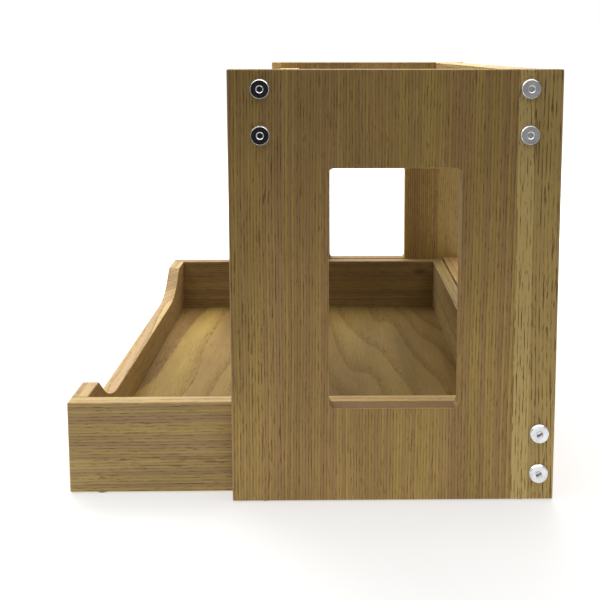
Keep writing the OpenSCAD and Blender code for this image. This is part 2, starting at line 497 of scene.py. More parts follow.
class Lie(Enum):
    """How a board lies: the axes across its grain, through its thickness and along it."""

    UPRIGHT_SIDE = ("X", "Y", "Z")
    LEVEL_SIDE = ("Z", "Y", "X")
    CROSS_BOARD = ("Z", "X", "Y")
    FLAT_ACROSS = ("X", "Z", "Y")

    def axis(self, role: int) -> Triple:
        """The unit vector of the axis across (0), through (1) or along (2) the grain."""
        return tuple(1.0 if letter == self.value[role] else 0.0 for letter in "XYZ")

    def turned(self, sheet: Sheet, spot: Value) -> tuple[Value, Value]:
        """Turns coordinates so that they run across, through and along the grain.

        Args:
            sheet: the material's sheet.
            spot: coordinates along X, Y and Z.

        Returns:
            The turned coordinates, and the one across the grain by itself.
        """
        split = sheet.node("SeparateXYZ", {0: spot}).outputs
        across, through, along = (split[letter] for letter in self.value)
        joined = sheet.node("CombineXYZ", {"X": across, "Y": through, "Z": along})
        return joined.outputs[0], across


@dataclass(frozen=True)
class Stave:
    """One glued strip of a board: its width in mm, its tone, and how coarse it is."""

    width: float
    tone: float = 0.5
    coarse: float = 0.3


@dataclass(frozen=True)
class PoreSize:
    """One size of open pore: width and length in mm, how dark it is, and how deep."""

    width: float
    length: float
    dark: float
    deep: float


class Finish:
    """A finish that can be laid out as a material."""

    name: str

    def surface(self, sheet: Sheet, shader: bpy.types.Node) -> None:
        """Lays out the nodes that feed the shader.

        Args:
            sheet: the material's sheet.
            shader: its Principled shader.
        """
        raise NotImplementedError

    def material(self) -> bpy.types.Material:
        """The material of this finish, made the first time that it is asked for.

        Returns:
            The material.
        """
        made = bpy.data.materials.get(self.name)
        if made is None:
            made = bpy.data.materials.new(self.name)
            made.use_nodes = True
            sheet = Sheet(made.node_tree)
            shader = sheet.node("BsdfPrincipled")
            end = sheet.node("OutputMaterial", {"Surface": shader.outputs[0]})
            end.is_active_output = True
            self.surface(sheet, shader)
        return made


@dataclass(frozen=True)
class Oak(Finish):
    """Oiled oak, as it comes off the trunk for one board.

    The pith is where the heart of the trunk lies from the board's middle, in mm: far off
    for a straight grain, near and below a face for a cathedral figure. The swings say how
    far a pattern moves the wood's brightness, about its mean.
    """

    name: str
    lie: Lie
    centre: Triple
    staves: tuple[Stave, ...] = (Stave(1000.0),)
    pith: Span = (260.0, 90.0)
    ring: float = 3.2
    taper: float = 0.0
    waver: float = 7.0
    seed: float = 1.0
    late: Colour = (0.470, 0.312, 0.116)
    early: Colour = (0.350, 0.214, 0.071)
    pore: Colour = (0.125, 0.066, 0.024)
    sap: Colour = (0.760, 0.560, 0.218)
    end_grain: Colour = (0.190, 0.112, 0.062)
    red_ring: Colour = (1.05, 0.98, 1.16)
    olive_ring: Colour = (0.97, 1.01, 0.86)
    figure: float = 0.55
    ring_swing: float = 0.28
    fibre_swing: float = 0.9
    cloud_swing: float = 0.8
    sap_share: float = 0.85
    dark_stave: float = 0.8
    # A factor on all the board's colours; below 1 it is painted shade for boards that lie in the
    # box's shaded inside.
    shade: float = 1.0
    pores: float = 1.0
    fine: PoreSize = PoreSize(0.7, 10.0, 0.6, -0.6)
    long: PoreSize = PoreSize(1.3, 26.0, 0.28, -0.9)
    long_offset: float = 40.0
    stave_offset: float = 17.0
    coarse_gain: float = 0.9
    coarse_dark: float = 0.5
    patch_size: float = 55.0
    patch_dark: float = 0.05
    arris_pale_and_highlight: float = 0.45
    gloss: float = 0.52
    fibre_rough: float = 0.16
    pore_rough: float = 0.2
    patch_gloss: float = -0.05
    fibre_relief: float = 0.35
    early_relief: float = -0.15
    relief: float = 0.55
    relief_depth: float = 0.25 * MM
    shine: float = 0.10
    end_facing: Span = (0.75, 0.95)
    end_share: float = 0.8
    end_rings: float = 0.45
    knot: Span | None = None
    knot_grain: Triple = (0.35, 0.35, 0.2)
    knot_oval: Triple = (1.0, 0.0, 0.55)
    knot_ragged: float = 3.0
    knot_reach: Span = (2.5, 11.0)
    knot_dark: float = 0.75

    def surface(self, sheet: Sheet, shader: bpy.types.Node) -> None:
        """Rings, pores, staves, painted shade, and edges that are paler from rubbing and from a
        painted highlight; see Finish.surface for Args.
        """
        place, strip, coarse = self.board_space(sheet)
        seed = sheet.maths("MULTIPLY_ADD", strip, self.stave_offset, self.seed)
        figure = FIGURE.place(
            sheet,
            Vector=place,
            Seed=seed,
            Ring=self.ring,
            Pith_across=self.pith[0],
            Pith_depth=self.pith[1],
            Taper=self.taper,
            Waver=self.waver,
        )
        early = figure["Early"]
        fine = PORES.place(
            sheet,
            Vector=place,
            Seed=seed,
            Early=early,
            Width=self.fine.width,
            Length=self.fine.length,
        )["Pores"]
        long = PORES.place(
            sheet,
            Vector=place,
            Seed=sheet.maths("ADD", seed, self.long_offset),
            Early=early,
            Width=self.long.width,
            Length=self.long.length,
            Amount=sheet.maths("MULTIPLY_ADD", coarse, self.coarse_gain, 0.5),
        )["Pores"]
        patch = HANDLING.place(sheet, Vector=place, Size=self.patch_size, Seed=self.seed)["Patch"]
        arris = ARRIS_WEAR_AND_HIGHLIGHT.place(sheet, Face_axis=self.lie.axis(1), Vector=place)["Arris"]

        wood = self.timber(sheet, figure, strip)
        fine_dark = sheet.maths("MULTIPLY", fine, self.fine.dark * self.pores)
        wood = sheet.mix(fine_dark, wood, self.pore)
        dark = sheet.maths(
            "MULTIPLY_ADD", coarse, self.coarse_dark * self.pores, self.long.dark * self.pores
        )
        wood = sheet.mix(sheet.maths("MULTIPLY", long, dark), wood, self.pore)
        if self.knot:
            wood = self.knotted(sheet, place, wood)
        wood = self.end_faces(sheet, wood, early)
        wood = sheet.mix(sheet.step(patch, (0.0, 1.0), 0.0, self.patch_dark), wood, self.pore)
        # Paler arrises: partly rubbed wear, partly a painted highlight where the edges catch the
        # light.
        wood = sheet.mix(sheet.maths("MULTIPLY", arris, self.arris_pale_and_highlight), wood, self.sap)
        sheet.feed(shader.inputs["Base Color"], wood)

        rough = sheet.maths(
            "MULTIPLY_ADD", figure["Fibre"], self.fibre_rough, self.gloss - self.fibre_rough / 2
        )
        rough = sheet.maths("MULTIPLY_ADD", fine, self.pore_rough, rough)
        rough = sheet.maths("MULTIPLY_ADD", patch, self.patch_gloss, rough)
        sheet.feed(shader.inputs["Roughness"], rough)

        height = sheet.maths("MULTIPLY", long, self.long.deep)
        height = sheet.maths("MULTIPLY_ADD", fine, self.fine.deep, height)
        height = sheet.maths("MULTIPLY_ADD", figure["Fibre"], self.fibre_relief, height)
        height = sheet.maths("MULTIPLY_ADD", early, self.early_relief, height)
        sheet.emboss(shader, height, self.relief, self.relief_depth)
        shader.inputs["Specular IOR Level"].default_value = self.shine

    def board_space(self, sheet: Sheet) -> tuple[Value, Value, Value]:
        """Turns object coordinates into millimetres on the board.

        Args:
            sheet: the material's sheet.

        Returns:
            The board coordinates, the stave's own number, and how coarse the stave is.
        """
        spot = sheet.node("TexCoord").outputs["Object"]
        centred = sheet.node("Mapping", {"Vector": spot}, vector_type="POINT")
        centred.inputs["Location"].default_value = tuple(-c for c in self.centre)
        turned, across = self.lie.turned(sheet, centred.outputs[0])
        total = sum(stave.width for stave in self.staves)
        share = sheet.maths("MULTIPLY_ADD", across, 1.0 / (total * MM), 0.5)
        starts = [sum(s.width for s in self.staves[:i]) / total for i in range(len(self.staves))]
        strip = sheet.steps(share, [(a, s.tone) for a, s in zip(starts, self.staves)])
        coarse = sheet.steps(share, [(a, s.coarse) for a, s in zip(starts, self.staves)])
        return sheet.scaled(turned, 1.0 / MM), strip, coarse

    def timber(self, sheet: Sheet, figure: bpy.types.NodeOutputs, strip: Value) -> Value:
        """The wood's colour before pores: rings, fibres, clouds, staves and the painted shade
        factor.

        Args:
            sheet: the material's sheet.
            figure: the figure group's outputs.
            strip: the stave's tone, from 0, dark, to 1, sapwood.

        Returns:
            The colour's socket.
        """
        wood = sheet.mix(
            sheet.maths("MULTIPLY", figure["Early"], self.figure), self.late, self.early
        )
        for pattern, swing in (
            ("Ring tone", self.ring_swing),
            ("Fibre", self.fibre_swing),
            ("Cloud", self.cloud_swing),
        ):
            bright = sheet.maths("MULTIPLY_ADD", figure[pattern], swing, 1.0 - swing / 2)
            wood = sheet.dimmed(wood, bright)
        tint = sheet.mix(figure["Ring tone"], self.red_ring, self.olive_ring)
        wood = sheet.mix(1.0, wood, tint, "MULTIPLY")
        pale = sheet.step(strip, (0.5, 1.0), 0.0, self.sap_share)
        wood = sheet.mix(pale, wood, self.sap)
        # The shade factor darkens every colour of the board: painted shade where it is below 1.
        dim = sheet.step(strip, (0.0, 0.5), self.dark_stave * self.shade, self.shade)
        return sheet.dimmed(wood, dim)

    def knotted(self, sheet: Sheet, place: Value, wood: Value) -> Value:
        """Adds one small dark knot with a soft halo.

        Args:
            sheet: the material's sheet.
            place: the board coordinates.
            wood: the colour so far.

        Returns:
            The colour with its knot.
        """
        away = sheet.vector("SUBTRACT", place, (self.knot[0], 0.0, self.knot[1]))
        oval = sheet.vector("MULTIPLY", away, self.knot_oval)
        blur = sheet.noise(place, self.knot_grain, self.seed)
        reach = sheet.length(oval)
        ragged = sheet.maths("MULTIPLY_ADD", blur.outputs[0], self.knot_ragged, reach)
        halo = sheet.step(ragged, self.knot_reach, self.knot_dark, 0.0)
        return sheet.mix(halo, wood, self.pore)

    def end_faces(self, sheet: Sheet, wood: Value, early: Value) -> Value:
        """Gives the faces that are sawn across the grain their own colour and rings.

        Args:
            sheet: the material's sheet.
            wood: the colour so far.
            early: how early in its ring the wood grew, from the figure group.

        Returns:
            The colour with its end grain.
        """
        facing = sheet.maths("ABSOLUTE", sheet.facing(self.lie.axis(2)))
        ends = sheet.step(facing, self.end_facing, 0.0, self.end_share)
        ringed = sheet.maths("MULTIPLY", early, self.end_rings)
        return sheet.mix(ends, wood, sheet.mix(ringed, self.end_grain, self.pore))


@dataclass(frozen=True)
class PaleOak(Oak):
    """The paler oak of the tray's boards."""

    late: Colour = (0.478, 0.335, 0.148)
    early: Colour = (0.360, 0.236, 0.094)


@dataclass(frozen=True)
class Plating(Finish):
    """Bright or dull plated steel."""

    name: str
    colour: Colour
    roughness: float
    scuff: float = 0.05
    patch_size: float = 6.0
    patch_seed: float = 4.0
    patch_dull: float = 0.82
    speck_rough: float = 0.1
    grind_grain: Triple = (5.0, 5.0, 5.0)
    grind_seed: float = 2.0
    relief: float = 0.06
    relief_depth: float = 0.05 * MM

    def surface(self, sheet: Sheet, shader: bpy.types.Node) -> None:
        """Plated metal with wiped patches and specks; see Finish.surface for Args."""
        place = sheet.millimetres()
        touched = HANDLING.place(
            sheet, Vector=place, Size=self.patch_size, Seed=self.patch_seed
        )
        rough = sheet.maths("MULTIPLY_ADD", touched["Patch"], self.scuff, self.roughness)
        rough = sheet.maths("MULTIPLY_ADD", touched["Specks"], self.speck_rough, rough)
        sheet.feed(shader.inputs["Roughness"], rough)
        dulled = tuple(channel * self.patch_dull for channel in self.colour)
        tint = sheet.mix(touched["Patch"], self.colour, dulled)
        sheet.feed(shader.inputs["Base Color"], tint)
        shader.inputs["Metallic"].default_value = 1.0
        grind = sheet.noise(place, self.grind_grain, self.grind_seed, detail=3.0)
        sheet.emboss(shader, grind.outputs[0], self.relief, self.relief_depth)


@dataclass(frozen=True)
class Beech(Finish):
    """Raw turned beech, close-grained, for the dowels."""

    name: str
    lie: Lie
    pale: Colour = (0.60, 0.43, 0.27)
    fleck: Colour = (0.34, 0.21, 0.12)
    fleck_width: float = 0.4
    fleck_length: float = 2.5
    fleck_seed: float = 9.0
    fleck_dark: float = 0.6
    patch_size: float = 12.0
    patch_seed: float = 5.0
    patch_dark: float = 0.15
    roughness: float = 0.6
    patch_rough: float = 0.1
    relief: float = 0.3
    relief_depth: float = 0.1 * MM

    def surface(self, sheet: Sheet, shader: bpy.types.Node) -> None:
        """Pale wood with small brown flecks; see Finish.surface for Args."""
        turned, _ = self.lie.turned(sheet, sheet.node("TexCoord").outputs["Object"])
        place = sheet.scaled(turned, 1.0 / MM)
        flecks = PORES.place(
            sheet,
            Vector=place,
            Seed=self.fleck_seed,
            Width=self.fleck_width,
            Length=self.fleck_length,
        )["Pores"]
        patch = HANDLING.place(
            sheet, Vector=place, Size=self.patch_size, Seed=self.patch_seed
        )["Patch"]
        wood = sheet.mix(sheet.maths("MULTIPLY", flecks, self.fleck_dark), self.pale, self.fleck)
        soil = sheet.maths("MULTIPLY", patch, self.patch_dark)
        sheet.feed(shader.inputs["Base Color"], sheet.mix(soil, wood, self.fleck))
        rough = sheet.maths("MULTIPLY_ADD", patch, self.patch_rough, self.roughness)
        sheet.feed(shader.inputs["Roughness"], rough)
        sheet.emboss(shader, flecks, self.relief, self.relief_depth)


@dataclass(frozen=True)
class Felt(Finish):
    """Dense pressed felt with loose fibres."""

    name: str
    dark: Colour = (0.052, 0.047, 0.043)
    light: Colour = (0.135, 0.122, 0.110)
    mat_grain: Triple = (3.0, 3.0, 3.0)
    mat_seed: float = 6.0
    mat_rough: float = 0.7
    mat_tone: Span = (0.35, 0.65)
    patch_size: float = 8.0
    dust: float = 0.4
    roughness: Span = (0.86, 0.96)
    relief: float = 0.8
    relief_depth: float = 0.3 * MM
    sheen: float = 0.25

    def surface(self, sheet: Sheet, shader: bpy.types.Node) -> None:
        """Matted fibres in two greys; see Finish.surface for Args."""
        place = sheet.millimetres()
        matted = sheet.noise(
            place, self.mat_grain, self.mat_seed, detail=6.0, rough=self.mat_rough
        )
        specks = HANDLING.place(
            sheet, Vector=place, Size=self.patch_size, Seed=self.mat_seed
        )["Specks"]
        tone = sheet.step(matted.outputs[0], self.mat_tone)
        wool = sheet.mix(tone, self.dark, self.light)
        dust = sheet.maths("MULTIPLY", specks, self.dust)
        sheet.feed(shader.inputs["Base Color"], sheet.mix(dust, wool, self.light))
        sheet.feed(shader.inputs["Roughness"], sheet.step(tone, (0.0, 1.0), *self.roughness))
        sheet.emboss(shader, matted.outputs[0], self.relief, self.relief_depth)
        shader.inputs["Sheen Weight"].default_value = self.sheen


CHROME = Plating("bright_chrome", (0.80, 0.81, 0.83), 0.07)
ZINC = Plating("zinc_plate", (0.56, 0.58, 0.60), 0.3, scuff=0.15)
FELT = Felt("dark_felt")
BEECH = Beech("raw_beech", Lie.FLAT_ACROSS)


# ---------------------------------------------------------------- mesh work


def middle(node: str) -> Triple:
    """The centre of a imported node's box."""
    low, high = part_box(node)
    return tuple((low + high) / 2)


def soft_bevel(shape: bmesh.types.BMesh, edges: list, width: float, segments: int) -> None:
    """Rounds edges, and shades the new faces smooth.

    Args:
        shape: the mesh.
        edges: the edges to round.
        width: how far the rounding reaches on each face.
        segments: how many faces it has.
    """
    made = bmesh.ops.bevel(
        shape,
        geom=edges,
        offset=width,
        offset_type="OFFSET",
        segments=segments,
        profile=0.5,
        affect="EDGES",
        clamp_overlap=False,
        material=-1,
    )
    for face in made["faces"]:
        face.smooth = True


def block(low: Vector, high: Vector) -> bmesh.types.BMesh:
    """A rectangular block.

    Args:
        low: its lowest corner.
        high: its highest corner.

    Returns:
        A new mesh.
    """
    shape = bmesh.new()
    bmesh.ops.create_cube(shape, size=1.0)
    bmesh.ops.scale(shape, vec=high - low, verts=shape.verts)
    bmesh.ops.translate(shape, vec=(low + high) / 2, verts=shape.verts)
    return shape


def square_edges(shape: bmesh.types.BMesh) -> list[bmesh.types.BMEdge]:
    """The edges at which two faces meet near a right angle."""
    shape.normal_update()
    return [edge for edge in shape.edges if edge.calc_face_angle(0.0) > NEAR_SQUARE]


def finished(shape: bmesh.types.BMesh, name: str) -> bpy.types.Object:
    """Turns a mesh into an object with clean outward faces.

    Args:
        shape: the mesh, which is used up.
        name: the object's name.

    Returns:
        The object, at the origin and unturned.
    """
    bmesh.ops.remove_doubles(shape, verts=shape.verts, dist=WELD)
    bmesh.ops.recalc_face_normals(shape, faces=shape.faces)
    mesh = bpy.data.meshes.new(name)
    shape.to_mesh(mesh)
    shape.free()
    made = bpy.data.objects.new(name, mesh)
    bpy.context.scene.collection.objects.link(made)
    return made


def drilled(piece: bpy.types.Object, cutter: bmesh.types.BMesh) -> None:
    """Takes the cutter's solids out of a piece for good.

    Args:
        piece: the piece, whose mesh is replaced.
        cutter: the solids to take out, which are used up.
    """
    tool = finished(cutter, piece.name + "_cutter")
    cut = piece.modifiers.new("drilled", "BOOLEAN")
    cut.operation = "DIFFERENCE"
    cut.solver = "EXACT"
    cut.object = tool
    graph = bpy.context.evaluated_depsgraph_get()
    mesh = bpy.data.meshes.new_from_object(piece.evaluated_get(graph))
    piece.modifiers.clear()
    old = piece.data
    piece.data = mesh
    bpy.data.meshes.remove(old)
    mesh.name = piece.name
    bpy.data.meshes.remove(tool.data)


def add_rod(shape: bmesh.types.BMesh, start: Vector, end: Vector, radius: float) -> None:
    """Adds a closed round rod to a mesh.

    Args:
        shape: the mesh.
        start: the middle of one end.
        end: the middle of the other end.
        radius: the rod's radius.
    """
    run = end - start
    turn = run.to_track_quat("Z", "Y").to_matrix().to_4x4()
    place = Matrix.Translation((start + end) / 2) @ turn
    bmesh.ops.create_cone(
        shape,
        cap_ends=True,
        segments=ROD_SIDES,
        radius1=radius,
        radius2=radius,
        depth=run.length,
        matrix=place,
    )


def dress(piece: bpy.types.Object, finish: Finish, slot: str, body: str, *nodes: str) -> None:
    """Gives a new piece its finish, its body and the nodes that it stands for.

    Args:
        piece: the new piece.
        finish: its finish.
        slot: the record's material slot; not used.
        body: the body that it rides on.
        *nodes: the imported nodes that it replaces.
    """
    piece.data.materials.clear()
    piece.data.materials.append(finish.material())
    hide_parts(*nodes)
    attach(piece, body)
    LOG.info("made %s for %s", piece.name, ", ".join(nodes))


def sawn(node: str, lie: Lie, kind: type[Oak] = Oak, **how) -> Oak:
    """The oak of one packed board, which is named after the board.

    Args:
        node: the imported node's name.
        lie: how the board lies.
        kind: the kind of oak.
        **how: the oak's other fields.

    Returns:
        The finish.
    """
    return kind(f"oak_{node}", lie, middle(node), **how)


def refinish(node: str, finish: Finish) -> None:
    """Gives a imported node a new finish.

    Args:
        node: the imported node's name.
        finish: its finish.
    """
    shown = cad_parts[node]
    material = finish.material()
    for slot in shown.material_slots:
        slot.link = "DATA"
        slot.material = material
    LOG.info("finished %s in %s", node, finish.name)


# ---------------------------------------------------------------- frame


class Side(Enum):
    """The two sides of the box, as seen from its front, and their way along Y."""

    RIGHT = -1
    LEFT = 1

    def word(self) -> str:
        """The side's name in lower case."""
        return self.name.lower()


@dataclass
class SidePanel:
    """An upright oak panel with a window, drilled for the six bolts of its rails."""

    side: Side
    staves: tuple[Stave, ...]
    seed: float
    end_grain: Colour
    window_front: float = 89.5 * MM
    window_width: float = 119 * MM
    window_foot: float = 89 * MM
    window_height: float = 222 * MM
    corner: float = 5 * MM
    ease: float = 1.1 * MM
    bolt_hole: float = 3.3 * MM
    corner_steps: int = 6
    overrun: float = 1 * MM

    def build(self) -> bpy.types.Object:
        """Builds, drills and dresses the panel.

        Returns:
            The panel's object.
        """
        node = f"{self.side.word()}_side_panel"
        low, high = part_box(node)
        window_low, window_high = self.window(low)
        shape = block(low, high)
        for axis in (0, 2):
            for corner in (window_low, window_high):
                bmesh.ops.bisect_plane(
                    shape,
                    geom=shape.verts[:] + shape.edges[:] + shape.faces[:],
                    plane_co=corner,
                    plane_no=Vector([float(i == axis) for i in range(3)]),
                )
        self.open_window(shape, window_low, window_high)
        soft_bevel(shape, square_edges(shape), self.ease, EASE_STEPS)
        panel = finished(shape, f"{self.side.word()}_windowed_panel")
        drilled(panel, self.bolt_rods(low, high))
        finish = Oak(
            f"oak_{self.side.word()}_panel",
            Lie.UPRIGHT_SIDE,
            middle(node),
            staves=self.staves,
            pith=(210.0, 60.0),
            ring=2.7,
            waver=16.0,
            seed=self.seed,
            figure=0.75,
            end_grain=self.end_grain,
        )
        dress(panel, finish, "oak_panel", "frame", node)
        return panel

    def window(self, low: Vector) -> tuple[Vector, Vector]:
        """The window's lowest and highest corners, in the plane of the panel's low face.

        Args:
            low: the panel's lowest corner.

        Returns:
            The two corners.
        """
        start = low + Vector((self.window_front, 0.0, self.window_foot))
        return start, start + Vector((self.window_width, 0.0, self.window_height))

    def open_window(self, shape: bmesh.types.BMesh, start: Vector, end: Vector) -> None:
        """Takes the window out of the panel, and rounds its four corners.

        Args:
            shape: the panel, cut along the window's four lines.
            start: the window's lowest corner.
            end: its highest corner.
        """
        panes = [
            face
            for face in shape.faces
            if start.x < face.calc_center_median().x < end.x
            and start.z < face.calc_center_median().z < end.z
        ]
        bmesh.ops.delete(shape, geom=panes, context="FACES_ONLY")
        rims = [edge for edge in shape.edges if len(edge.link_faces) == 1]
        jambs = bmesh.ops.bridge_loops(shape, edges=rims)["faces"]
        corners = {
            edge
            for face in jambs
            for edge in face.edges
            if abs(edge.verts[0].co.y - edge.verts[1].co.y) > self.corner
        }
        soft_bevel(shape, list(corners), self.corner, self.corner_steps)

    def bolt_rods(self, low: Vector, high: Vector) -> bmesh.types.BMesh:
        """The drill's path through the panel at each bolt.

        Args:
            low: the panel's lowest corner.
            high: its highest corner.

        Returns:
            A mesh of closed rods.
        """
        rods = bmesh.new()
        for pair in BoltPair.PLACES:
            for x, z in BoltPair(pair, self.side).axes():
                start = Vector((x, low.y - self.overrun, z))
                end = Vector((x, high.y + self.overrun, z))
                add_rod(rods, start, end, self.bolt_hole)
        return rods


@dataclass
class BoltPair:
    """Two flat bevelled connector bolts, which hold one end of a rail."""

    place: str
    side: Side
    bevel: float = 1.45 * MM
    rim: float = 0.65 * MM
    mouth: float = 3.35 * MM
    sink: float = 0.35 * MM
    socket_flats: float = 5.0 * MM
    socket_depth: float = 3.6 * MM
    shank: float = 3.0 * MM
    socket_mouth: float = 0.56 * MM
    soften: float = 0.14 * MM
    steps: int = 48
    weld: float = 0.001 * MM
    flat: float = 0.995
    sharp: float = 0.3

    PLACES = ("front_top", "back_top", "base_rail")

    def node(self) -> str:
        """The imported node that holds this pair."""
        return f"{self.place}_bolts_{self.side.word()}"

    def axes(self) -> list[tuple[float, float]]:
        """The X and Z of each bolt's axis, from the pair's box."""
        low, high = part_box(self.node())
        radius = (high.x - low.x) / 2
        return [(low.x + radius, low.z + radius), (low.x + radius, high.z - radius)]

    def build(self) -> bpy.types.Object:
        """Turns both bolts, and sets them in the frame.

        Returns:
            The pair's object.
        """
        low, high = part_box(self.node())
        panel_low, panel_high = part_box(f"{self.side.word()}_side_panel")
        outside = (low.y, high.y)[self.side is Side.LEFT]
        skin = (panel_low.y, panel_high.y)[self.side is Side.LEFT]
        head = abs(outside - skin)
        pair = bmesh.new()
        for x, z in self.axes():
            bolt = self.turn((high.x - low.x) / 2, head, (high.y - low.y))
            turn = Matrix.Rotation(self.side.value * -math.pi / 2, 4, "X")
            bolt.transform(Matrix.Translation((x, outside, z)) @ turn)
            spare = bpy.data.meshes.new("bolt")
            bolt.to_mesh(spare)
            bolt.free()
            pair.from_mesh(spare)
            bpy.data.meshes.remove(spare)
        piece = finished(pair, f"{self.node()}_turned")
        dress(piece, CHROME, "chrome_bolt", "frame", self.node())
        return piece

    def turn(self, radius: float, head: float, length: float) -> bmesh.types.BMesh:
        """Turns one bolt about Z, with its face at z = 0 and its shank below.

        Args:
            radius: the head's radius.
            head: the head's height.
            length: the bolt's whole length.

        Returns:
            A new closed mesh.
        """
        tip = self.shank / 3
        outline = [
            (self.mouth - self.sink, -self.sink),
            (self.mouth, 0.0),
            (radius - self.bevel, 0.0),
            (radius, -(head - self.rim)),
            (radius, -head),
            (self.shank, -head),
            (self.shank, -length + tip),
            (self.shank - tip, -length),
        ]
        bolt = bmesh.new()
        points = [bolt.verts.new((r, 0.0, z)) for r, z in outline]
        lines = [bolt.edges.new(pair) for pair in zip(points, points[1:])]
        bmesh.ops.spin(
            bolt,
            geom=points + lines,
            cent=(0, 0, 0),
            axis=(0, 0, 1),
            angle=2 * math.pi,
            steps=self.steps,
            use_merge=True,
        )
        bmesh.ops.remove_doubles(bolt, verts=bolt.verts, dist=self.weld)
        self.cut_socket(bolt)
        rims = [edge for edge in bolt.edges if edge.is_boundary]
        bmesh.ops.edgeloop_fill(bolt, edges=rims)
        bmesh.ops.recalc_face_normals(bolt, faces=bolt.faces)
        for face in bolt.faces:
            face.smooth = abs(face.normal.z) < self.flat
        soft_bevel(bolt, self.head_rings(bolt, head), self.soften, 2)
        return bolt

    def cut_socket(self, bolt: bmesh.types.BMesh) -> None:
        """Cuts the hexagon socket into the turned head.

        Args:
            bolt: the turned bolt, open at the socket's mouth.
        """
        mouth = [e for e in bolt.edges if e.is_boundary and e.verts[0].co.z > -self.socket_depth]
        made = bmesh.ops.create_circle(
            bolt,
            cap_ends=False,
            segments=6,
            radius=self.socket_flats / math.sqrt(3),
            matrix=Matrix.Translation((0, 0, -self.socket_mouth)),
        )
        flats = list({edge for vert in made["verts"] for edge in vert.link_edges})
        bmesh.ops.subdivide_edges(bolt, edges=flats, cuts=self.steps // 6 - 1)
        hexagon = [edge for edge in bolt.edges if edge.is_wire]
        bmesh.ops.bridge_loops(bolt, edges=mouth + hexagon)
        walls = bmesh.ops.extrude_edge_only(bolt, edges=hexagon)["geom"]
        deep = [item for item in walls if isinstance(item, bmesh.types.BMVert)]
        bmesh.ops.translate(bolt, vec=(0, 0, -self.socket_depth), verts=deep)

    def head_rings(self, bolt: bmesh.types.BMesh, head: float) -> list[bmesh.types.BMEdge]:
        """The sharp rings of the head, at its face, its bevel and its underside.

        Args:
            bolt: the bolt.
            head: the head's height.

        Returns:
            The rings' edges.
        """
        return [
            edge
            for edge in bolt.edges
            if edge.calc_face_angle(0.0) > self.sharp
            and all(math.hypot(*v.co.xy) > self.mouth - NEAR for v in edge.verts)
            and all(v.co.z > -head - NEAR for v in edge.verts)
        ]


@dataclass
class Rails:
    """The three oak rails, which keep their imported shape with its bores."""

    def build(self) -> None:
        """Gives each rail its own board of oak."""
        boards = {
            "front_top_rail": ((-180.0, 70.0), 21.0),
            "back_top_rail": ((150.0, 95.0), 33.0),
            "base_rail": ((-120.0, 60.0), 47.0),
        }
        for node, (pith, seed) in boards.items():
            oak = sawn(node, Lie.CROSS_BOARD, pith=pith, ring=3.6, waver=14.0, seed=seed)
            refinish(node, oak)


@dataclass
class Pads:
    """Round felt pads under one body, with their lower edges rounded."""

    body: str
    width: float = 14 * MM
    soften: float = 0.3 * MM
    sides: int = 40

    def build(self) -> bpy.types.Object:
        """Makes the four pads of the body.

        Returns:
            The pads' object.
        """
        node = f"{self.body}_felt_pads"
        low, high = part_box(node)
        radius = self.width / 2
        shape = bmesh.new()
        for x in (low.x + radius, high.x - radius):
            for y in (low.y + radius, high.y - radius):
                bmesh.ops.create_cone(
                    shape,
                    cap_ends=True,
                    segments=self.sides,
                    radius1=radius,
                    radius2=radius,
                    depth=high.z - low.z,
                    matrix=Matrix.Translation((x, y, (low.z + high.z) / 2)),
                )
        lower = [
            e for e in square_edges(shape) if all(v.co.z < low.z + self.soften for v in e.verts)
        ]
        soft_bevel(shape, lower, self.soften, EASE_STEPS)
        piece = finished(shape, f"{self.body}_round_pads")
        dress(piece, FELT, "felt_pad", self.body, node)
        return piece


@dataclass
class Frame:
    """The standing frame: two side panels, three rails and their fastenings."""

    def build(self) -> None:
        """Builds the frame's pieces in order."""
        SidePanel(
            Side.RIGHT,
            (
                Stave(48, 0.44, 0.6),
                Stave(150, 0.5, 0.1),
                Stave(60, 0.52, 0.15),
                Stave(15, 1.0, 0.9),
                Stave(25, 0.72, 0.9),
            ),
            seed=3.0,
            end_grain=(0.165, 0.092, 0.032),
        ).build()
        SidePanel(
            Side.LEFT,
            (
                # Painted highlight: this pale 13 mm stave at the front edge stands in for light
                # that falls on the front strip of the panel's inner face.
                Stave(13, 0.95, 0.2),
                Stave(120, 0.42, 0.3),
                Stave(128, 0.46, 0.5),
                Stave(37, 0.74, 0.3),
            ),
            seed=11.0,
            # Partly a painted highlight: this end grain is paler than the right panel's, for the
            # top-lit top edge.
            end_grain=(0.240, 0.150, 0.066),
        ).build()
        Rails().build()
        for side in Side:
            for place in BoltPair.PLACES:
                BoltPair(place, side).build()
        for place in BoltPair.PLACES:
            refinish(f"{place}_barrel_nuts", ZINC)
        Pads("frame").build()


# ---------------------------------------------------------------- tray


